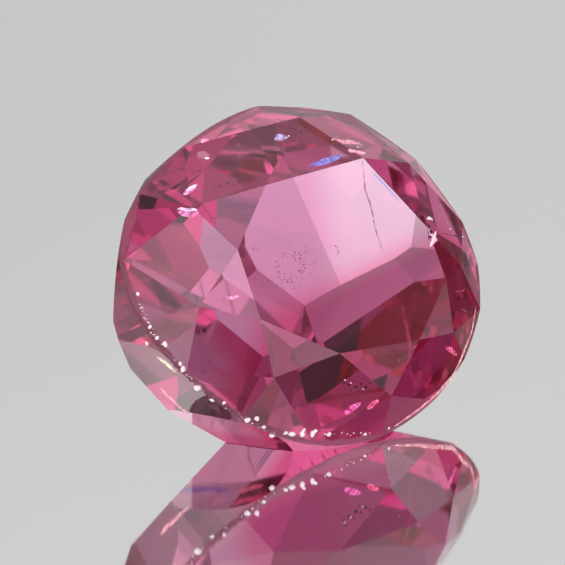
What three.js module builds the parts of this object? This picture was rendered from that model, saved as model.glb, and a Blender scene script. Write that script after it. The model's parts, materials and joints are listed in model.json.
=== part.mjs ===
// A loose, hand-cut oval ruby of about 1.6 carats, lying tilted on a facet of its pavilion.
// Millimetres, +Z up. The viewer of the lying stone looks along +Y, with +X to the right.
//
// The stone is one convex solid. Every face is a plane ground flat by the cutter, so the source
// lists the facets as a cutter would: where each one stands around the stone (its index, in
// degrees), how steep it is (its slope, in degrees from the girdle's plane) and how deep it sits.
// The stone's own axes are u along the girdle's length, v along its width and w up out of the table.

import * as THREE from 'three';
import { mergeVertices } from 'three/addons/utils/BufferGeometryUtils.js';

// Girdle: the oval belt where crown and pavilion meet.
const girdle = {
  halfLength: 3.98,
  halfWidth: 3.16,
  thickness: 0.11,
  facets: 96,
  skew: 0.019, // hand grinding leaves the oval a little skewed
  pear: [-0.017, 0.007], // a little pear-shaped
  square: [0.017, -0.012], // and a little squared, as shares of its radius
};

// Crown: eight kites between the girdle and the table, eight stars and sixteen upper girdle facets.
const crown = {
  height: 0.96, // of the table over the middle of the girdle
  starShare: 0.37, // how far down the crown the stars reach
  // Each kite's index, and its table corner as a share of the way out to the girdle
  kites: [
    [-16.5, 0.63],
    [14, 0.58],
    [63, 0.62],
    [124.5, 0.57],
    [172.5, 0.54],
    [213.5, 0.63],
    [258.5, 0.57],
    [304.5, 0.65],
  ],
};

// Pavilion: a steep band under the girdle, then the main facets.
const pavilion = {
  culet: [0.5, 0.06, -3.24], // u, v, w of the point that the main facets are aimed at
  // Index and slope of each facet of the steep band
  band: [
    [-8.5, 56],
    [23.5, 51.5],
    [58.5, 40],
    [88, 55],
    [113.5, 53.5],
    [120.5, 66],
    [152.5, 63],
    [163, 49.5],
    [207, 84.5],
    [245, 77],
    [281, 76.5],
    [307, 59],
    [333.5, 46.5],
  ],
  // Index and slope of each main facet, and how far outside the aimed point it passes
  mains: [
    [-16, 42, 0.13],
    [64, 38.5, -0.43],
    [102.5, 36.5, 0.04],
    [164, 33.5, 0.19],
    [216.5, 26, -0.12],
    [233, 26, -0.03],
    [310.5, 37.5, 0.15],
    [337, 38, -0.09],
  ],
};

// The stone as it lies: how far its table leans from level, the way the table faces, how far the
// oval is rolled in its own plane, and how high the middle of the girdle is held.
const lying = {
  lean: 59,
  facing: 43,
  roll: 16.5,
  height: 2.82,
};

const touching = 0.002; // a corner this near a facet's plane is moved onto it

const radians = THREE.MathUtils.degToRad;

// A facet keeps the side of its plane where normal . point < distance.
function facetThrough(normal, point) {
  const n = normal.clone().normalize();
  return { normal: n, distance: n.dot(point) };
}

// The plane through three points, facing away from the middle of the stone.
function facetOn(a, b, c) {
  const n = new THREE.Vector3().crossVectors(b.clone().sub(a), c.clone().sub(a));
  if (n.dot(a) < 0) n.negate();
  return facetThrough(n, a);
}

// The corner that three facets share.
function cornerOf(a, b, c) {
  const m = new THREE.Matrix3().set(
    a.normal.x, a.normal.y, a.normal.z,
    b.normal.x, b.normal.y, b.normal.z,
    c.normal.x, c.normal.y, c.normal.z,
  );
  if (Math.abs(m.determinant()) < 1e-9) return null;
  return new THREE.Vector3(a.distance, b.distance, c.distance).applyMatrix3(m.invert());
}

// A point of the girdle's oval: an ellipse whose radius swells and shrinks a little round the stone.
function ovalPoint(t, w) {
  const swell =
    1 +
    girdle.skew * Math.sin(2 * t) +
    girdle.pear[0] * Math.cos(3 * t) +
    girdle.pear[1] * Math.sin(3 * t) +
    girdle.square[0] * Math.cos(4 * t) +
    girdle.square[1] * Math.sin(4 * t);
  return new THREE.Vector3(
    girdle.halfLength * Math.cos(t) * swell,
    girdle.halfWidth * Math.sin(t) * swell,
    w,
  );
}

// The level direction along the oval at an index.
function ovalTangent(t) {
  const step = 1e-4;
  return ovalPoint(t + step, 0).sub(ovalPoint(t - step, 0)).normalize();
}

// The level direction square to the oval and away from the stone.
function ovalNormal(t) {
  const tangent = ovalTangent(t);
  return new THREE.Vector3(tangent.y, -tangent.x, 0);
}

function girdleFacets() {
  return Array.from({ length: girdle.facets }, (_, i) => {
    const t = (2 * Math.PI * i) / girdle.facets;
    return facetThrough(ovalNormal(t), ovalPoint(t, 0));
  });
}

function crownFacets() {
  const top = girdle.thickness / 2;
  const starLevel = top + (crown.height - top) * (1 - crown.starShare);
  const level = (w) => ({ normal: new THREE.Vector3(0, 0, 1), distance: w });
  const kites = crown.kites.map(([index, share]) => {
    const t = radians(index);
    const foot = ovalPoint(t, top);
    const corner = new THREE.Vector3(foot.x * share, foot.y * share, crown.height);
    const facet = facetOn(foot, foot.clone().add(ovalTangent(t)), corner);
    return { t, foot, corner, facet };
  });
  const facets = [level(crown.height)];
  kites.forEach((kite, i) => {
    const next = kites[(i + 1) % kites.length];
    const turn = i + 1 === kites.length ? 2 * Math.PI : 0;
    const tip = cornerOf(kite.facet, next.facet, level(starLevel));
    const between = ovalPoint((kite.t + next.t + turn) / 2, top);
    facets.push(kite.facet, facetOn(kite.corner, next.corner, tip));
    facets.push(facetOn(kite.foot, between, tip), facetOn(next.foot, between, tip));
  });
  return facets;
}

// The direction out of the pavilion at an index and a slope.
function downward(outward, slope) {
  const normal = outward.clone().multiplyScalar(Math.sin(slope));
  normal.z = -Math.cos(slope);
  return normal;
}

function pavilionFacets() {
  const rim = -girdle.thickness / 2;
  const culet = new THREE.Vector3(...pavilion.culet);
  const band = pavilion.band.map(([index, slope]) => {
    const t = radians(index);
    return facetThrough(downward(ovalNormal(t), radians(slope)), ovalPoint(t, rim));
  });
  const mains = pavilion.mains.map(([index, slope, outside]) => {
    const t = radians(index);
    const normal = downward(new THREE.Vector3(Math.cos(t), Math.sin(t), 0), radians(slope));
    return facetThrough(normal, culet.clone().addScaledVector(normal, outside));
  });
  return [...band, ...mains];
}

// The stone's axes as it lies: w leans towards the viewer's right, and u starts out level.
function lyingMatrix() {
  const lean = radians(lying.lean);
  const facing = radians(lying.facing);
  const w = new THREE.Vector3(
    Math.sin(lean) * Math.sin(facing),
    -Math.sin(lean) * Math.cos(facing),
    Math.cos(lean),
  );
  const u = new THREE.Vector3(1, 0, 0).addScaledVector(w, -w.x).normalize();
  u.applyAxisAngle(w, radians(lying.roll));
  const v = new THREE.Vector3().crossVectors(w, u);
  return new THREE.Matrix4().makeBasis(u, v, w).setPosition(0, 0, lying.height);
}

// The facet that the stone lies on: the level ground, seen in the stone's own axes.
function lyingFacet(matrix) {
  const toStone = matrix.clone().invert();
  const ground = new THREE.Vector3(0, 0, 0).applyMatrix4(toStone);
  const down = new THREE.Vector3(0, 0, -1).transformDirection(toStone);
  return facetThrough(down, ground);
}

// The rough that the stone is ground from: a block, as corners and as faces that list them in turn.
function rough(half) {
  const corners = [];
  [-half, half].forEach((z) => {
    [[-1, -1], [1, -1], [1, 1], [-1, 1]].forEach(([x, y]) => corners.push(new THREE.Vector3(x * half, y * half, z)));
  });
  const faces = [[3, 2, 1, 0], [4, 5, 6, 7], [0, 1, 5, 4], [1, 2, 6, 5], [2, 3, 7, 6], [3, 0, 4, 7]];
  return { corners, faces };
}

// Grinds one facet: what stands proud of its plane goes, and the cut is closed by the new face.
function grind({ corners, faces }, { normal, distance }) {
  const side = corners.map((p) => {
    const proud = normal.dot(p) - distance;
    return Math.abs(proud) < touching ? 0 : Math.sign(proud);
  });
  if (!side.includes(1)) return { corners, faces };
  const onto = (p) => p.clone().addScaledVector(normal, distance - normal.dot(p));
  const points = corners.map((p, i) => (side[i] === 0 ? onto(p) : p));
  const made = new Map();
  const cut = (a, b) => {
    const key = a < b ? `${a} ${b}` : `${b} ${a}`;
    if (!made.has(key)) {
      const ha = normal.dot(points[a]) - distance;
      const hb = normal.dot(points[b]) - distance;
      made.set(key, points.push(points[a].clone().lerp(points[b], ha / (ha - hb))) - 1);
    }
    return made.get(key);
  };
  const kept = faces.map((face) => face.flatMap((a, k) => {
    const b = face[(k + 1) % face.length];
    const own = side[a] > 0 ? [] : [a];
    return side[a] * side[b] < 0 ? [...own, cut(a, b)] : own;
  })).filter((face) => face.length > 2 && face.some((i) => side[i] < 0));
  // The new face runs backwards along every edge that has lost its neighbour
  const edges = new Set(kept.flatMap((face) => face.map((a, k) => `${a} ${face[(k + 1) % face.length]}`)));
  const after = new Map();
  edges.forEach((edge) => {
    const [a, b] = edge.split(' ').map(Number);
    if (!edges.has(`${b} ${a}`)) after.set(b, a);
  });
  const ring = [after.keys().next().value];
  while (ring.length < after.size) ring.push(after.get(ring[ring.length - 1]));
  return { corners: points, faces: [...kept, ring] };
}

// The finished stone as triangles, each face fanned from its first corner.
function stoneGeometry({ corners, faces }) {
  const triangles = faces.flatMap((face) => face.slice(2).map((c, k) => [face[0], face[k + 1], c]));
  const positions = triangles.flatMap((t) => t.flatMap((i) => corners[i].toArray()));
  const geometry = new THREE.BufferGeometry();
  geometry.setAttribute('position', new THREE.Float32BufferAttribute(positions, 3));
  return mergeVertices(geometry, touching / 10);
}

const matrix = lyingMatrix();
const facets = [...girdleFacets(), ...crownFacets(), ...pavilionFacets(), lyingFacet(matrix)];
const geometry = stoneGeometry(facets.reduce(grind, rough(2 * girdle.halfLength)));

const crystal = new THREE.MeshStandardMaterial({
  name: 'ruby_crystal',
  color: 0xd2467a,
  roughness: 0.02,
  metalness: 0,
  transparent: true,
  opacity: 0.6,
});

const ruby = new THREE.Mesh(geometry, crystal);
ruby.name = 'ruby';
ruby.applyMatrix4(matrix);

// The origin is the middle of the stone's box, on the ground.
const group = new THREE.Group();
group.add(ruby);
const box = new THREE.Box3().setFromObject(group, true);
const middle = box.getCenter(new THREE.Vector3());
ruby.position.sub(new THREE.Vector3(middle.x, middle.y, box.min.z));

export default group;
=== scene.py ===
"""A loose oval ruby, lying tilted on a facet of its pavilion on a glossy pale surface.

Everything is in metres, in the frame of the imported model: +Z up, the origin under the stone's middle,
and the viewer of the photograph looking along +Y from a little above.
"""

import json
import math

import bpy
import numpy as np
from mathutils import Matrix, Vector


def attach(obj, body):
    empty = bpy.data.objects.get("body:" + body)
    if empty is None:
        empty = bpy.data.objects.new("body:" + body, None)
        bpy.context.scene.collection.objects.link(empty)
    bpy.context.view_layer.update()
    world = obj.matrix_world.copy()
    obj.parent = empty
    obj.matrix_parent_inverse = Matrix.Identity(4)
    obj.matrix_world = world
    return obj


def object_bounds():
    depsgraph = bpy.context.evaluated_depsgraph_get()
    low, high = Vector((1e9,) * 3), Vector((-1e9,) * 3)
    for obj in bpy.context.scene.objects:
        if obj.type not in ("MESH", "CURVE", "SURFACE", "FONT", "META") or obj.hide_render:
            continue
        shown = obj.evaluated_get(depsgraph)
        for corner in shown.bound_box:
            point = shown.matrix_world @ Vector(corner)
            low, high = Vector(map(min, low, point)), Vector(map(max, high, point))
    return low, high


bl_info = {
    "name": "Lying Ruby",
    "version": (1, 0, 0),
    "blender": (4, 5, 0),
    "location": "View3D > Sidebar > Ruby",
    "description": "Dresses a faceted ruby and sets it on a glossy studio floor",
    "category": "Object",
}

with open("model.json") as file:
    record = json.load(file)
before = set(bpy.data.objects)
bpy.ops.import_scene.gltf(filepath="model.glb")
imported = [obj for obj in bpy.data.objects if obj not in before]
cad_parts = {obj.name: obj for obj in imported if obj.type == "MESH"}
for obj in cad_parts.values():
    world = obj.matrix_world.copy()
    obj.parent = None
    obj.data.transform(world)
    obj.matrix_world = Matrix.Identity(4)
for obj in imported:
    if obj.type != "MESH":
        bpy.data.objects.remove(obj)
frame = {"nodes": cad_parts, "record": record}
CAD_BOX = [list(corner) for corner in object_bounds()]

MM = 0.001  # one millimetre in metres
CORUNDUM_IOR = 1.77
STONE = "ruby"

# The photograph, in its own pixels
PHOTO_SIZE = 565
STONE_PIXEL = (298.3, 274.1)  # where the middle of the stone's box shows
PIXEL = 0.018 * MM  # what one pixel spans at the stone

# Where the photograph shows each small thing: x and y, then its width there, in pixels
# White bruises on the girdle, which glow with painted sparkles of light
GIRDLE_BRUISES_AND_SPARKLES = (
    (165, 344, 7), (183, 369, 6), (180, 364, 4), (198, 387, 7), (212, 400, 4), (224, 403, 4),
    (247, 420, 5), (257, 418, 5), (264, 427, 4), (272, 435, 6), (286, 433, 4), (292, 434, 6),
    (302, 434, 5), (304, 430, 4), (312, 434, 5), (315, 431, 4), (329, 434, 5), (365, 434, 4),
    (150, 327, 4), (157, 338, 4), (147, 343, 4), (138, 294, 4),
)
# The girdle's rim, where small glowing crumbs lie between the bruises: painted sparkles of light
GIRDLE_LINE = (
    (140, 300), (147, 322), (157, 340), (172, 358), (190, 379), (206, 395), (228, 409), (248, 421),
    (266, 430), (290, 435), (320, 434), (350, 434), (368, 433),
)
GIRDLE_SPARKLE_CRUMBS = {"spread": 4, "width": 1.7, "count": 70}  # pixels off the line, pixels wide, and how many
# Soft boxes: azimuth from straight behind the stone towards the right, elevation, half width, all in
# degrees, and brightness
SOFT_BOXES = (
    (-90, 64, 20, 1.60),
    (165, 4, 12, 1.37),
    (-90, 40, 48, 0.97),
    (120, 4, 12, 0.93),
    (75, 4, 12, 0.88),
    (-30, 52, 12, 0.84),
    (-15, 40, 12, 0.75),
    (135, 40, 32, 0.75),
    (165, 40, 32, 0.64),
    (75, 16, 12, 0.54),
    (30, 64, 48, 0.54),
    (-150, 28, 48, 0.49),
    (90, 4, 32, 0.47),
    (-45, 4, 20, 0.40),
    (15, 28, 32, 0.34),
    (0, 28, 48, 0.31),
)
# Fine lines, each a row of pixels that it runs through
FEATHER_PATH = (
    (362, 158), (364, 175), (365, 190), (370, 203), (373, 215), (375, 228), (379, 240), (383, 252),
)
FEATHER_WIDTH = 2.4  # in pixels
FEATHER_DEPTH = 0.35 * MM
VEIL_PATH = ((401, 300), (404, 316), (408, 334), (411, 350), (409, 364), (411, 377), (419, 386))
VEIL_WIDTH = 5.0  # in pixels
VEIL_DEPTH = 0.15 * MM
SCRATCHES = (
    ((455, 292), (462, 291), (468, 288)),
    ((460, 308), (467, 312), (474, 315)),
    ((398, 362), (405, 353)),
)
DARK_EDGE_LINES = (
    ((366, 161), (380, 176), (397, 194), (413, 211), (427, 226)),
    ((427, 226), (429, 233), (428, 241)),
    ((441, 233), (455, 236), (466, 239)),
)
# Chips at the table's corner, drawn with the glowing white material: real chips with painted glints of light
CHIPS_AND_GLINTS = (((436, 231), (434, 239), (430, 247)), ((427, 219), (430, 218), (433, 220)))
# A painted rim of light along the girdle's far side, as if its edge were lit from behind
PAINTED_RIM_LIGHT_PATH = ((392, 428), (417, 411), (435, 396), (453, 376), (461, 359), (472, 331), (476, 306))
# Painted highlights: coloured patches that glow where light glints off the stone, with glowing white crumbs
# as their sparkles. Each is a row of pixels, its width in pixels, its colour and how many white crumbs lie
# on it
PAINTED_GLINTS = (
    (((177, 211), (184, 214), (192, 215), (199, 212)), 5.5, (1.0, 0.22, 0.62), 0),
    (((178, 208), (186, 210), (197, 209)), 4.0, (0.95, 0.62, 0.98), 14),
    (((184, 195), (188, 191), (194, 189)), 6.0, (1.0, 0.30, 0.68), 0),
    (((186, 192), (191, 188), (197, 185)), 4.5, (0.98, 0.72, 1.0), 10),
    (((201, 142), (205, 140), (209, 141)), 6.0, (1.0, 0.25, 0.55), 4),
    (((157, 357), (163, 361), (169, 366), (176, 373)), 6.0, (1.0, 0.90, 0.62), 5),
    (((160, 387), (166, 394), (173, 401), (179, 406)), 5.0, (1.0, 0.36, 0.45), 0),
    (((174, 403), (181, 408), (189, 414)), 4.0, (1.0, 0.46, 0.52), 0),
    (((309, 166), (320, 163), (332, 159), (344, 155)), 6.5, (0.16, 0.15, 0.72), 0),
    (((371, 171), (381, 181), (391, 192), (400, 202)), 2.4, (0.30, 0.36, 0.80), 0),
    (((275, 140), (280, 136), (287, 138)), 6.5, (0.50, 0.42, 0.92), 5),
    (((344, 414), (351, 409), (361, 403)), 7.0, (0.95, 0.03, 0.46), 3),
    (((367, 409), (372, 405), (379, 400)), 6.0, (1.0, 0.03, 0.24), 3),
    (((334, 139), (343, 142), (352, 142), (362, 145)), 7.0, (0.95, 0.30, 0.46), 14),
    (((348, 150), (356, 152), (366, 153)), 6.0, (1.0, 0.36, 0.52), 10),
    (((445, 347), (451, 350), (457, 355)), 5.0, (1.0, 0.08, 0.38), 2),
    (PAINTED_RIM_LIGHT_PATH, 4.5, (1.0, 0.55, 0.56), 0),
    (((226, 297), (232, 298), (239, 296)), 3.5, (1.0, 0.35, 0.68), 0),
)
GLINT_SPREAD = 0.7  # how far off the row the crumbs lie, as a share of the glint's width
GLINT_CRUMB = 1.8  # how wide they are, in pixels
# Small white nicks on the crown that glow: real nicks with painted glints of light on them. x, y and width
# in pixels
NICKS_AND_GLINTS = (
    (195, 210, 3), (352, 141, 3), (358, 147, 3), (207, 158, 5), (463, 237, 3), (450, 229, 3), (389, 428, 4),
    (397, 425, 3), (345, 380, 2), (351, 383, 2), (363, 389, 2),
)
# Groups of specks: x, y, half width and half height in pixels, how many, their size in pixels and their
# depth in mm
SPECK_GROUPS = (
    (290, 267, 15, 16, 60, 1.6, 0.8),
    (282, 262, 32, 30, 110, 1.1, 0.6),
    (335, 250, 4, 5, 8, 1.8, 0.8),
    (284, 151, 5, 5, 9, 3.2, 0.2),
)
# Dark crystals near the skin, and dark marks in the chip at the table's corner: x, y and width in pixels
DARK_CRYSTALS = (
    (346, 377, 3), (344, 383, 3), (349, 385, 4), (354, 381, 3), (356, 387, 5), (361, 384, 3), (366, 387, 5),
    (359, 391, 3), (370, 383, 3), (363, 379, 2), (351, 390, 2), (429, 226, 6), (431, 232, 7), (430, 237, 5),
)
# Guest crystals: x, y, width and height in pixels, depth in mm
GUEST_CRYSTALS = ((203, 155, 14, 11, 0.25), (280, 139, 9, 6, 0.2))

# Colour zones laid like growth zoning, with tints fitted to make parts of the stone paler and deeper where
# light makes
# them so: partly painted light and shade. Each gives the way across the stone, where along it the zone
# starts and is full, in millimetres from the origin, and what the zone's skin lets through
COLOUR_AND_SHADE_ZONES = (
    ((0.74, -0.66, -0.09), 0.66, 1.1, (0.98, 0.15, 0.39)),
    ((0.52, -0.61, 0.60), 1.7, 1.91, (0.81, 0.52, 0.76)),
    ((-0.90, 0.44, 0.07), 1.09, 1.81, (0.85, 0.44, 0.68)),
)

MOUNTS = {mount["name"]: mount for mount in frame["record"]["mounts"]}
TABLE_CENTRE = Vector(MOUNTS["table"]["pos_m"])
TABLE_NORMAL = Vector(MOUNTS["table"]["axis"]).normalized()
GIRDLE_DEPTH = 0.96 * MM  # of the girdle's middle under the table
GIRDLE_THICKNESS = 0.11 * MM
SHEET_THICKNESS = 0.006 * MM  # half the thickness of a ribbon in its middle
STREAK_STEPS = 24  # cross-sections along a ribbon
STREAK_SIDES = 10  # corners round each of them


def middle(box):
    """The middle of a box given by its two corners."""
    return (Vector(box[0]) + Vector(box[1])) / 2


class Sight:
    """The photograph's line of sight: which way it looks, and what lies behind each of its pixels."""

    def __init__(self, stage):
        self.distance = stage.distance
        self.away = Vector((0, math.cos(stage.elevation), -math.sin(stage.elevation)))
        self.right = Vector((1, 0, 0))
        self.up = self.right.cross(self.away)
        self.aim = self.level_place(PHOTO_SIZE / 2, PHOTO_SIZE / 2)
        self.eye = self.aim - self.away * self.distance

    def level_place(self, x, y):
        """Where a pixel's line of sight meets the plane through the stone's middle, square to the view."""
        across = (x - STONE_PIXEL[0]) * PIXEL
        rise = (STONE_PIXEL[1] - y) * PIXEL
        return middle(CAD_BOX) + self.right * across + self.up * rise

    def surface(self, x, y):
        """What shows at a pixel: the place on the stone, the facet's normal and the direction of sight."""
        direction = (self.level_place(x, y) - self.eye).normalized()
        hit, place, normal, _ = frame["nodes"][STONE].ray_cast(self.eye, direction)
        if not hit:
            raise ValueError(f"pixel {x}, {y} misses the stone")
        return place, normal, direction

    def behind(self, x, y, depth):
        """The place that shows at a pixel, this deep in the stone: the line of sight bends as it enters."""
        place, normal, direction = self.surface(x, y)
        return place + refracted(direction, normal, bpy.context.scene.ruby_stone.refraction) * depth

    def streak(self, pixels, width, depth=0.0):
        """A thin closed ribbon along a row of pixels, flat to the facets that it shows through.

        Its width is in pixels, and its depth in the stone in metres.
        """
        steps = np.linspace(0, 1, STREAK_STEPS)
        knots = np.linspace(0, 1, len(pixels))
        places = np.stack([np.interp(steps, knots, column) for column in zip(*pixels)], axis=1)
        middles = np.array([self.behind(x, y, depth) for x, y in places])
        normals = np.array([self.surface(x, y)[1] for x, y in places])
        widths = width * PIXEL / 2 * np.sin(np.pi * steps) ** 0.5
        return lens(middles, widths, normals)

    def crumb(self, x, y, width, seed, flat=0.2):
        """A small lump that lies on the facet behind a pixel; its width is in pixels."""
        place, normal, _ = self.surface(x, y)
        across = normal.cross(self.up).normalized()
        half = width * PIXEL / 2
        axes = np.array([across * half, normal.cross(across) * half * 0.7, normal * half * flat])
        return pebble(place, axes, lumps=0.5, seed=seed, rows=5, columns=7)

    def crumbs(self, pixels, rng, spread, width, count):
        """Crumbs strewn along a row of pixels: the spread across the row and their width are in pixels."""
        steps = rng.uniform(0, 1, count)
        knots = np.linspace(0, 1, len(pixels))
        places = np.stack([np.interp(steps, knots, column) for column in zip(*pixels)], axis=1)
        places += rng.uniform(-0.5, 0.5, (count, 2)) * spread
        widths = width * rng.uniform(0.5, 1.3, count)
        return [self.crumb(*place, size, number) for number, (place, size) in enumerate(zip(places, widths))]


def refracted(direction, normal, refraction):
    """The way that a ray goes on inside the stone, by Snell's law."""
    cosine = -direction.dot(normal)
    inside = math.sqrt(1 - (1 - cosine**2) / refraction**2)
    return direction / refraction + normal * (cosine / refraction - inside)


def solid(name, points, faces, material):
    """A piece that rides on the stone's body, from arrays of points and of faces."""
    mesh = bpy.data.meshes.new(name)
    mesh.from_pydata(np.asarray(points).tolist(), [], np.asarray(faces).tolist())
    mesh.materials.append(material)
    piece = bpy.data.objects.new(name, mesh)
    bpy.context.scene.collection.objects.link(piece)
    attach(piece, "root")
    return piece


def joined(parts):
    """Several pairs of points and faces as one pair."""
    starts = np.cumsum([0] + [len(points) for points, _ in parts[:-1]])
    points = np.concatenate([points for points, _ in parts])
    faces = np.concatenate([faces + start for (_, faces), start in zip(parts, starts)])
    return points, faces


def pebble(centre, axes, lumps=0.0, seed=0, rows=9, columns=12):
    """A lumpy ellipsoid: a ball that slow waves swell and shrink, stretched along three axes.

    Latitude runs from pole to pole in rows, longitude round in columns, and each pole is one point.
    """
    rng = np.random.default_rng(seed)
    latitude = np.linspace(0, math.pi, rows + 1)[1:-1, None]
    longitude = np.linspace(0, 2 * math.pi, columns + 1)[None, :-1]
    level = np.sin(latitude)
    ring = np.stack(
        [level * np.cos(longitude), level * np.sin(longitude), np.cos(latitude) + 0 * longitude],
        axis=-1,
    )
    ball = np.concatenate([[[0, 0, 1]], ring.reshape(-1, 3), [[0, 0, -1]]])
    waves = rng.normal(size=(4, 3)) * 2.0
    swell = 1 + lumps * np.sin(ball @ waves.T + rng.uniform(0, 2 * math.pi, 4)).mean(axis=1, keepdims=True)
    points = np.asarray(centre) + (ball * swell) @ np.asarray(axes)
    return points, globe_faces(rows - 1, columns)


def globe_faces(rings, columns):
    """Triangles over rings of points with one point before the first ring and one after the last."""
    turn = np.arange(columns)
    after = (turn + 1) % columns
    top = np.stack([0 * turn, 1 + turn, 1 + after], axis=1)
    last = 1 + (rings - 1) * columns
    bottom = np.stack([last + after, last + turn, 0 * turn + last + columns], axis=1)
    row = np.arange(rings - 1)[:, None] * columns + 1
    a, b = (row + turn).ravel(), (row + after).ravel()
    halves = [np.stack([a, a + columns, b], axis=1), np.stack([b, a + columns, b + columns], axis=1)]
    return np.concatenate([top, *halves, bottom])


def lens(middles, widths, normals):
    """A closed thin sheet along a path: each cross-section is a flat lens, thin at its rims.

    It reaches its width to each side of the middle. Both ends of the path close in one point.
    """
    turn = np.linspace(0, 2 * math.pi, STREAK_SIDES + 1)[None, :-1, None]
    ahead = np.gradient(middles, axis=0)
    across = np.cross(ahead, normals)
    across /= np.linalg.norm(across, axis=1, keepdims=True)
    inner = slice(1, -1)
    rings = (
        middles[inner, None]
        + across[inner, None] * np.cos(turn) * widths[inner, None, None]
        + normals[inner, None] * np.sin(turn) * SHEET_THICKNESS
    )
    points = np.concatenate([middles[:1], rings.reshape(-1, 3), middles[-1:]])
    return points, globe_faces(len(middles) - 2, STREAK_SIDES)


class Value:
    """One number in a material. Python's operators on it add Math nodes."""

    def __init__(self, shader, socket):
        self.shader = shader
        self.socket = socket

    def maths(self, operation, *others, **settings):
        settings["operation"] = operation
        return self.shader.node("ShaderNodeMath", settings, [self, *others])

    def __add__(self, other):
        return self.maths("ADD", other)

    def __mul__(self, other):
        return self.maths("MULTIPLY", other)

    def __sub__(self, other):
        return self.maths("SUBTRACT", other)

    def __rsub__(self, other):
        return self.shader.node("ShaderNodeMath", {"operation": "SUBTRACT"}, [other, self])

    def __pow__(self, other):
        return self.maths("POWER", other)

    def smooth(self, low, high):
        """0 below low, 1 above high, and a smooth step between."""
        settings = {"interpolation_type": "SMOOTHSTEP"}
        inputs = {"Value": self, "From Min": low, "From Max": high}
        return self.shader.node("ShaderNodeMapRange", settings, inputs)


class Shader:
    """A node tree that is written as expressions."""

    def __init__(self, owner):
        owner.use_nodes = True
        self.tree = owner.node_tree
        self.tree.nodes.clear()

    def node(self, kind, settings=None, inputs=None, output=0):
        """Adds one node: its settings first, then the values or links of its sockets. Returns an output."""
        node = self.tree.nodes.new(kind)
        for name, value in (settings or {}).items():
            setattr(node, name, value)
        pairs = inputs.items() if isinstance(inputs, dict) else enumerate(inputs or [])
        for name, value in pairs:
            if isinstance(value, Value):
                self.tree.links.new(value.socket, node.inputs[name])
            else:
                node.inputs[name].default_value = value
        return Value(self, node.outputs[output]) if len(node.outputs) else None

    def coordinates(self):
        """The place on the piece, in metres."""
        return self.node("ShaderNodeTexCoord", output="Object")

    def dot(self, a, b):
        return self.node("ShaderNodeVectorMath", {"operation": "DOT_PRODUCT"}, [a, b], output="Value")

    def noise(self, point, scale, detail=3.0, rough=0.5):
        inputs = {"Vector": point, "Scale": scale, "Detail": detail, "Roughness": rough}
        return self.node("ShaderNodeTexNoise", None, inputs)

    def mix(self, factor, first, second):
        """A blend of two colours."""
        settings = {"data_type": "RGBA", "clamp_factor": True}
        return self.node("ShaderNodeMix", settings, {0: factor, 6: first, 7: second}, output=2)

    def tinted(self, factor, first, second):
        """A colour that is multiplied by another, as far as the factor says."""
        settings = {"data_type": "RGBA", "blend_type": "MULTIPLY", "clamp_factor": True}
        return self.node("ShaderNodeMix", settings, {0: factor, 6: first, 7: second}, output=2)

    def principled(self, **inputs):
        """A Principled shader; a socket's name is written with _ for each space."""
        sockets = {name.replace("_", " "): value for name, value in inputs.items()}
        return self.node("ShaderNodeBsdfPrincipled", None, sockets)

    def finish(self, surface=None, volume=None):
        """Joins the shaders to the material's output."""
        inputs = {k: v for k, v in (("Surface", surface), ("Volume", volume)) if v is not None}
        self.node("ShaderNodeOutputMaterial", None, inputs)


class RubySettings(bpy.types.PropertyGroup):
    """The stone's optics."""

    refraction: bpy.props.FloatProperty(
        name="Refraction",
        description="Index of refraction of corundum",
        default=CORUNDUM_IOR,
    )
    roughness: bpy.props.FloatProperty(
        name="Polish",
        description="Roughness of the facets, which were polished by hand",
        default=0.04,
    )
    girdle_roughness: bpy.props.FloatProperty(
        name="Girdle frosting",
        description="How much rougher than the facets the unpolished girdle is",
        default=0.45,
    )
    girdle_colour: bpy.props.FloatVectorProperty(
        name="Girdle colour",
        description="What the grime in the frosted girdle lets through",
        subtype="COLOR",
        size=4,
        default=(0.50, 0.20, 0.29, 1.0),
        min=0.0,
        max=1.0,
    )
    density: bpy.props.FloatProperty(
        name="Depth of colour",
        description="How much light a metre of the stone takes off, for a channel that is 0 in the colour",
        default=200.0,
    )
    colour: bpy.props.FloatVectorProperty(
        name="Colour",
        description="Colour of the stone in depth",
        subtype="COLOR",
        default=(0.789, 0.258, 0.473),
        min=0.0,
        max=1.0,
    )


class StageSettings(bpy.types.PropertyGroup):
    """The floor, the light and the camera."""

    elevation: bpy.props.FloatProperty(
        name="Camera elevation",
        description="How far above level the camera looks down from",
        subtype="ANGLE",
        default=math.radians(16.9),
    )
    distance: bpy.props.FloatProperty(
        name="Camera distance",
        description="From the camera to the stone",
        unit="LENGTH",
        default=252 * MM,
    )
    walls: bpy.props.FloatProperty(
        name="Wall light",
        description="Brightness at the horizon, fading to nothing straight above",
        default=0.06,
    )
    floor_radius: bpy.props.FloatProperty(
        name="Floor radius",
        description="Radius of the glossy floor",
        unit="LENGTH",
        default=1.2,
    )
    gap: bpy.props.FloatProperty(
        name="Gap",
        description="Air between the floor and the facet that lies on it",
        unit="LENGTH",
        default=0.01 * MM,
    )
    bounces: bpy.props.IntProperty(
        name="Bounces",
        description="How often light is followed from facet to facet",
        default=32,
    )
    floor_colour: bpy.props.FloatVectorProperty(
        name="Floor colour",
        description="Tint of what the floor mirrors in front of the stone",
        subtype="COLOR",
        default=(0.94, 0.94, 0.94),
        min=0.0,
        max=1.0,
    )
    # Painted shade: the floor is tinted darker behind the stone than in front of it.
    far_shade_colour: bpy.props.FloatVectorProperty(
        name="Far floor colour",
        description="Tint of what the floor mirrors behind the stone",
        subtype="COLOR",
        default=(0.87, 0.87, 0.87),
        min=0.0,
        max=1.0,
    )


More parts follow.
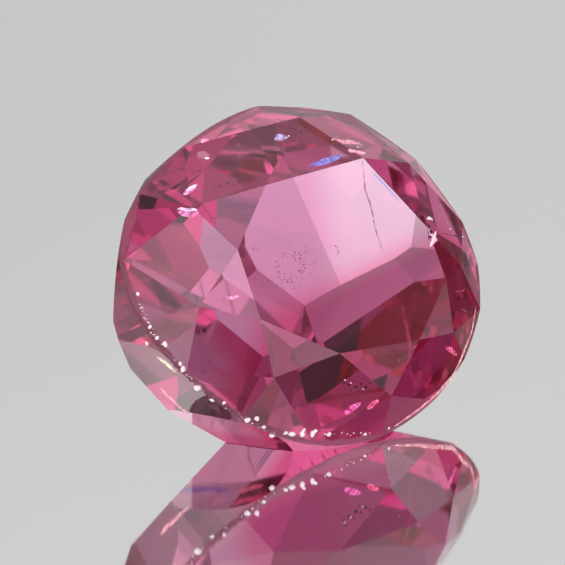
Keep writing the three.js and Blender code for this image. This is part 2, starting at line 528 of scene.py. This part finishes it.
def ruby_material(settings):
    """Clear pink-red corundum: polished, with its colour taken from the depth that light passes, and with
    zones whose tints are partly painted light and shade.
    """
    material = bpy.data.materials.new("ruby_crystal_clear")
    shader = Shader(material)
    place = shader.coordinates()
    depth = shader.dot(tuple(TABLE_NORMAL), tuple(TABLE_CENTRE)) - shader.dot(place, tuple(TABLE_NORMAL))
    ragged = shader.noise(place, 4 / MM, detail=4.0, rough=0.7) * GIRDLE_THICKNESS
    off_girdle = (depth - GIRDLE_DEPTH).maths("ABSOLUTE") + ragged
    frosted = off_girdle.smooth(1.15 * GIRDLE_THICKNESS, 0.95 * GIRDLE_THICKNESS)
    colour = (1.0, 1.0, 1.0, 1.0)
    # The zones tint the skin paler and deeper where light shows the stone so: partly painted light and
    # shade.
    for way, start, full, tint in COLOUR_AND_SHADE_ZONES:
        share = shader.dot(place, way).smooth(start * MM, full * MM)
        colour = shader.tinted(share, colour, (*tint, 1.0))
    surface = shader.principled(
        Base_Color=shader.mix(frosted, colour, settings.girdle_colour),
        Roughness=frosted * settings.girdle_roughness + settings.roughness,
        IOR=settings.refraction,
        Transmission_Weight=1.0,
    )
    volume = shader.node(
        "ShaderNodeVolumeAbsorption",
        None,
        {"Color": (*settings.colour, 1.0), "Density": settings.density},
    )
    shader.finish(surface, volume)
    return material


def bruise_glow_material():
    """Crushed, frosted corundum: nearly white, with a painted glow that stands in for the sparkle of light
    on it.
    """
    material = bpy.data.materials.new("bruised_corundum_glowing")
    shader = Shader(material)
    grain = shader.noise(shader.coordinates(), 60 / MM, detail=2.0)
    colour = shader.mix(grain, (1.0, 0.93, 0.95, 1.0), (1.0, 0.72, 0.80, 1.0))
    surface = shader.principled(
        Base_Color=colour,
        Roughness=0.3,
        IOR=CORUNDUM_IOR,
        # The emission is painted light: a glow that makes the bruises shine white like lit sparkles.
        Emission_Color=(1.0, 0.93, 0.95, 1.0),
        Emission_Strength=0.35,
    )
    shader.finish(surface)
    return material


def painted_glint_material(colour):
    """A painted highlight: a patchy, bright and coloured glow where light glints off the stone."""
    material = bpy.data.materials.new("glint")
    shader = Shader(material)
    patches = shader.noise(shader.coordinates(), 14 / MM, detail=3.0).smooth(0.36, 0.60)
    tint = shader.mix(patches * 0.2, (*colour, 1.0), (1.0, 0.95, 0.98, 1.0))
    # The emission paints the glint's light.
    inputs = {"Base_Color": tint, "Roughness": 0.3, "Emission_Color": tint, "Emission_Strength": 0.45}
    shader.finish(shader.principled(Alpha=patches * 0.7 + 0.2, **inputs))
    return material


def scratch_material():
    """A hairline scratch: a broken, pale pink line."""
    material = bpy.data.materials.new("scratch")
    shader = Shader(material)
    breaks = shader.noise(shader.coordinates(), 8 / MM, detail=2.0).smooth(0.40, 0.60)
    shader.finish(shader.principled(Base_Color=(1.0, 0.75, 0.85, 1.0), Roughness=0.4, Alpha=breaks * 0.5))
    return material


def dark_edge_line_material():
    """A dull, dark plum line along a facet edge, with paler crumbs."""
    material = bpy.data.materials.new("dark_edge_line")
    shader = Shader(material)
    crumbs = shader.noise(shader.coordinates(), 25 / MM, detail=2.0).smooth(0.55, 0.70)
    colour = shader.mix(crumbs, (0.12, 0.03, 0.09, 1.0), (0.80, 0.45, 0.60, 1.0))
    shader.finish(shader.principled(Base_Color=colour, Roughness=0.5, Alpha=0.6))
    return material


def feather_material():
    """A crack with a film of rust in it: brown-pink, patchy and half see-through, with a faint painted glow.
    """
    material = bpy.data.materials.new("stained_feather_glowing")
    shader = Shader(material)
    place = shader.coordinates()
    stain = shader.noise(place, 5 / MM, detail=4.0, rough=0.65)
    colour = shader.mix(stain.smooth(0.40, 0.62), (0.66, 0.24, 0.27, 1.0), (1.0, 0.74, 0.76, 1.0))
    cover = shader.noise(place, 9 / MM, detail=3.0).smooth(0.30, 0.62) * 0.55
    # The emission is a painted glow of light on the crack.
    inputs = {"Base_Color": colour, "Roughness": 0.35, "Emission_Color": colour, "Emission_Strength": 0.25}
    shader.finish(shader.principled(Alpha=cover, **inputs))
    return material


def speck_material():
    """Specks of dark mineral, plum-coloured inside the stone."""
    material = bpy.data.materials.new("dark_speck")
    shader = Shader(material)
    tone = shader.noise(shader.coordinates(), 12 / MM, detail=1.0)
    colour = shader.mix(tone, (0.30, 0.06, 0.17, 1.0), (0.62, 0.26, 0.42, 1.0))
    shader.finish(shader.principled(Base_Color=colour, Roughness=0.3))
    return material


def dark_crystal_material():
    """Dark and glossy, between plum and navy: the guest crystals and the dark marks in the chip."""
    material = bpy.data.materials.new("dark_crystal")
    shader = Shader(material)
    shader.finish(shader.principled(Base_Color=(0.045, 0.008, 0.045, 1.0), Roughness=0.15, Alpha=0.85))
    return material


def veil_material():
    """A healed crack: rows of minute droplets, their scattered pale light painted as a faint glow."""
    material = bpy.data.materials.new("healed_veil")
    shader = Shader(material)
    place = shader.coordinates()
    droplets = shader.noise(place, 10 / MM, detail=4.0, rough=0.7).smooth(0.38, 0.62)
    # The emission is painted light.
    glow = {"Emission_Color": (1.0, 0.45, 0.60, 1.0), "Emission_Strength": 0.15}
    colour = (1.0, 0.66, 0.76, 1.0)
    shader.finish(shader.principled(Base_Color=colour, Roughness=0.4, Alpha=droplets * 0.5, **glow))
    return material


def guest_crystal_painted_shade_material():
    """A small guest crystal: glassy and pale, with painted shade darkening its rim as it turns from view,
    and a painted glow.
    """
    material = bpy.data.materials.new("guest_crystal")
    shader = Shader(material)
    # Painted shade: the rim darkens where the surface turns away from the view; the emission is a painted
    # glow.
    facing = shader.node("ShaderNodeLayerWeight", None, {"Blend": 0.5}, output="Facing")
    colour = shader.mix(facing.smooth(0.45, 0.85), (1.0, 0.80, 0.76, 1.0), (0.22, 0.05, 0.10, 1.0))
    glow = {"Emission_Color": colour, "Emission_Strength": 0.3}
    shader.finish(shader.principled(Base_Color=colour, Roughness=0.12, IOR=1.6, Alpha=0.7, **glow))
    return material


def floor_material(settings):
    """Pale polished glass or acrylic: nearly a mirror at this low angle, with painted shade darkening it
    behind the stone.
    """
    material = bpy.data.materials.new("polished_floor")
    shader = Shader(material)
    # Painted shade: the floor darkens from in front of the stone to behind it.
    far = shader.dot(shader.coordinates(), (0.0, 1.0, 0.0)).smooth(-18 * MM, 18 * MM)
    colour = shader.mix(far, (*settings.floor_colour, 1.0), (*settings.far_shade_colour, 1.0))
    surface = shader.principled(Base_Color=colour, Metallic=1.0, Roughness=0.045)
    shader.finish(surface)
    return material


def studio_light(world, stage):
    """A pale room with soft boxes far round the stone, each bright in its middle and fading to its rim."""
    shader = Shader(world)
    towards = shader.node("ShaderNodeTexCoord", output="Generated")
    height = shader.dot(towards, (0.0, 0.0, 1.0)).maths("ABSOLUTE")
    light = (1 - height) ** 3 * stage.walls
    for azimuth, elevation, half, strength in SOFT_BOXES:
        around, rise = math.radians(azimuth), math.radians(elevation)
        centre = (math.sin(around) * math.cos(rise), math.cos(around) * math.cos(rise), math.sin(rise))
        angle = shader.dot(towards, centre).maths("ARCCOSINE")
        light = light + angle.smooth(math.radians(half), math.radians(half / 2)) * strength
    white = (1.0, 1.0, 1.0, 1.0)
    background = shader.node("ShaderNodeBackground", None, {"Color": white, "Strength": light})
    shader.node("ShaderNodeOutputWorld", None, {"Surface": background})


class RUBY_OT_stone(bpy.types.Operator):
    """Give the stone its clear, deeply coloured material."""

    bl_idname = "ruby.stone"
    bl_label = "Stone"

    def execute(self, context):
        stone = frame["nodes"][STONE]
        stone.data.materials.clear()
        stone.data.materials.append(ruby_material(context.scene.ruby_stone))
        return {"FINISHED"}


class RUBY_OT_girdle_bruises(bpy.types.Operator):
    """Scatter the white bruises of the rough girdle along its rim, glowing with painted sparkles of light.
    """

    bl_idname = "ruby.girdle_bruises"
    bl_label = "Girdle bruises"

    def execute(self, context):
        sight = Sight(context.scene.ruby_stage)
        rng = np.random.default_rng(11)
        parts = []
        for x, y, width in GIRDLE_BRUISES_AND_SPARKLES:
            spot = sight.behind(x, y, 0)
            axes = np.diag(rng.uniform(0.8, 1.2, 3)) * width * PIXEL / 2
            parts.append(pebble(spot, axes, lumps=0.5, seed=int(x + y), rows=5, columns=7))
        parts += sight.crumbs(GIRDLE_LINE, rng, **GIRDLE_SPARKLE_CRUMBS)
        points, faces = joined(parts)
        solid("girdle_bruises", points, faces, bruise_glow_material())
        return {"FINISHED"}


class RUBY_OT_wear(bpy.types.Operator):
    """Mark the facets: scratches, dark edge lines, chips and nicks, and the painted highlights; the chips
    and nicks glow with painted glints.
    """

    bl_idname = "ruby.wear"
    bl_label = "Wear"

    def execute(self, context):
        sight = Sight(context.scene.ruby_stage)
        # white is the glowing bruise material, so the chips and nicks carry painted glints of light.
        white, pale, dark = bruise_glow_material(), scratch_material(), dark_edge_line_material()
        for name, paths, width, material in (
            ("scratches", SCRATCHES, 1.0, pale),
            ("dark_edge_lines", DARK_EDGE_LINES, 1.6, dark),
            ("chips_and_glints", CHIPS_AND_GLINTS, 3.6, white),
        ):
            points, faces = joined([sight.streak(path, width) for path in paths])
            solid(name, points, faces, material)
        parts = [sight.crumb(x, y, width, int(x)) for x, y, width in NICKS_AND_GLINTS]
        rng = np.random.default_rng(7)
        for number, (path, width, colour, crumbs) in enumerate(PAINTED_GLINTS):
            points, faces = sight.streak(path, width)
            solid(f"glint_{number}", points, faces, painted_glint_material(colour))
            parts += sight.crumbs(path, rng, width * GLINT_SPREAD, GLINT_CRUMB, crumbs)
        points, faces = joined(parts)
        solid("nicks_and_glints", points, faces, white)
        return {"FINISHED"}


class RUBY_OT_feather(bpy.types.Operator):
    """Put the stained crack under the right of the table."""

    bl_idname = "ruby.feather"
    bl_label = "Feather"

    def execute(self, context):
        sight = Sight(context.scene.ruby_stage)
        points, faces = sight.streak(FEATHER_PATH, FEATHER_WIDTH, FEATHER_DEPTH)
        solid("feather", points, faces, feather_material())
        return {"FINISHED"}


class RUBY_OT_specks(bpy.types.Operator):
    """Scatter the dark specks: a ring under the table and a few strays."""

    bl_idname = "ruby.specks"
    bl_label = "Specks"

    def execute(self, context):
        sight = Sight(context.scene.ruby_stage)
        rng = np.random.default_rng(5)
        centres = []
        sizes = []
        for x, y, across, high, count, size, depth in SPECK_GROUPS:
            turn = rng.uniform(0, 2 * math.pi, count)
            out = rng.uniform(0.3, 1.1, count) ** 0.5
            for t, r in zip(turn, out):
                place = (x + math.cos(t) * r * across, y + math.sin(t) * r * high)
                centres.append(sight.behind(*place, depth * MM * rng.uniform(0.8, 1.2)))
                sizes.append(size * PIXEL / 2 * rng.uniform(0.5, 1.3))
        corners = np.array([[1, 0, 0], [0, 1, 0], [-1, 0, 0], [0, -1, 0], [0, 0, 1], [0, 0, -1]], float)
        shape = rng.uniform(0.6, 1.4, (len(centres), 1, 3))
        points = np.array(centres)[:, None] + corners * shape * np.array(sizes)[:, None, None]
        octahedron = np.array(
            [[0, 1, 4], [1, 2, 4], [2, 3, 4], [3, 0, 4], [1, 0, 5], [2, 1, 5], [3, 2, 5], [0, 3, 5]]
        )
        faces = octahedron + np.arange(len(centres))[:, None, None] * len(corners)
        solid("specks", points.reshape(-1, 3), faces.reshape(-1, 3), speck_material())
        return {"FINISHED"}


class RUBY_OT_guest_crystals(bpy.types.Operator):
    """Put the round guest crystals near the crown's upper left and the dark ones low on the right."""

    bl_idname = "ruby.guest_crystals"
    bl_label = "Guest crystals"

    def execute(self, context):
        sight = Sight(context.scene.ruby_stage)
        points, faces = joined([sight.crumb(x, y, width, int(x), flat=0.5) for x, y, width in DARK_CRYSTALS])
        solid("dark_crystals", points, faces, dark_crystal_material())
        parts = []
        for x, y, across, high, depth in GUEST_CRYSTALS:
            axes = np.array([sight.right * across, sight.up * high, -sight.away * high]) * PIXEL / 2
            parts.append(pebble(sight.behind(x, y, depth * MM), axes, lumps=0.15, seed=int(x)))
        points, faces = joined(parts)
        solid("guest_crystals", points, faces, guest_crystal_painted_shade_material())
        return {"FINISHED"}


class RUBY_OT_veil(bpy.types.Operator):
    """Hang the healed crack, a curved pale veil, in the stone's right side."""

    bl_idname = "ruby.veil"
    bl_label = "Veil"

    def execute(self, context):
        sight = Sight(context.scene.ruby_stage)
        points, faces = sight.streak(VEIL_PATH, VEIL_WIDTH, VEIL_DEPTH)
        solid("veil", points, faces, veil_material())
        return {"FINISHED"}


class RUBY_OT_stage(bpy.types.Operator):
    """Set the glossy floor, the soft light and the camera."""

    bl_idname = "ruby.stage"
    bl_label = "Stage"

    def execute(self, context):
        settings = context.scene.ruby_stage
        turn = np.linspace(0, 2 * math.pi, 65)[:-1]
        rim = np.stack([np.cos(turn), np.sin(turn), 0 * turn], axis=1) * settings.floor_radius
        rim[:, 2] = -settings.gap
        mesh = bpy.data.meshes.new("floor")
        mesh.from_pydata(rim.tolist(), [], [list(range(len(rim)))])
        mesh.materials.append(floor_material(settings))
        floor = bpy.data.objects.new("floor", mesh)
        context.scene.collection.objects.link(floor)
        world = bpy.data.worlds.new("studio")
        studio_light(world, settings)
        context.scene.world = world
        self.add_camera(context, settings)
        context.scene.view_settings.view_transform = "Standard"
        cycles = context.scene.cycles
        cycles.max_bounces = settings.bounces
        cycles.transmission_bounces = settings.bounces
        cycles.glossy_bounces = settings.bounces
        # The stone's colour and normal passes are noise, because each path takes another way through it
        cycles.denoising_input_passes = "RGB"
        return {"FINISHED"}

    def add_camera(self, context, settings):
        """A long lens at the photograph's angle, aimed so that the stone's middle shows where it should."""
        data = bpy.data.cameras.new("photo_camera")
        data.sensor_fit = "HORIZONTAL"
        data.angle = 2 * math.atan(PHOTO_SIZE * PIXEL / 2 / settings.distance)
        data.clip_start = settings.distance / 10
        data.clip_end = settings.distance * 20
        camera = bpy.data.objects.new("photo_camera", data)
        context.scene.collection.objects.link(camera)
        sight = Sight(settings)
        turn = Matrix((sight.right, sight.up, -sight.away)).transposed().to_4x4()
        camera.matrix_world = Matrix.Translation(sight.eye) @ turn
        context.scene.camera = camera


class RUBY_PT_panel(bpy.types.Panel):
    """Lists the settings and the steps."""

    bl_idname = "RUBY_PT_panel"
    bl_label = "Lying Ruby"
    bl_space_type = "VIEW_3D"
    bl_region_type = "UI"
    bl_category = "Ruby"

    def draw(self, context):
        for group in (context.scene.ruby_stone, context.scene.ruby_stage):
            for name in group.__annotations__:
                self.layout.prop(group, name)
        for step in STEPS:
            self.layout.operator(step.bl_idname)


STEPS = (
    RUBY_OT_stone,
    RUBY_OT_girdle_bruises,
    RUBY_OT_wear,
    RUBY_OT_feather,
    RUBY_OT_specks,
    RUBY_OT_guest_crystals,
    RUBY_OT_veil,
    RUBY_OT_stage,
)
CLASSES = (RubySettings, StageSettings, *STEPS, RUBY_PT_panel)


def register():
    for cls in CLASSES:
        bpy.utils.register_class(cls)
    bpy.types.Scene.ruby_stone = bpy.props.PointerProperty(type=RubySettings)
    bpy.types.Scene.ruby_stage = bpy.props.PointerProperty(type=StageSettings)


def unregister():
    del bpy.types.Scene.ruby_stage
    del bpy.types.Scene.ruby_stone
    for cls in reversed(CLASSES):
        bpy.utils.unregister_class(cls)


def main():
    register()
    for step in STEPS:
        group, name = step.bl_idname.split(".")
        getattr(getattr(bpy.ops, group), name)()


if __name__ == "__main__":
    main()
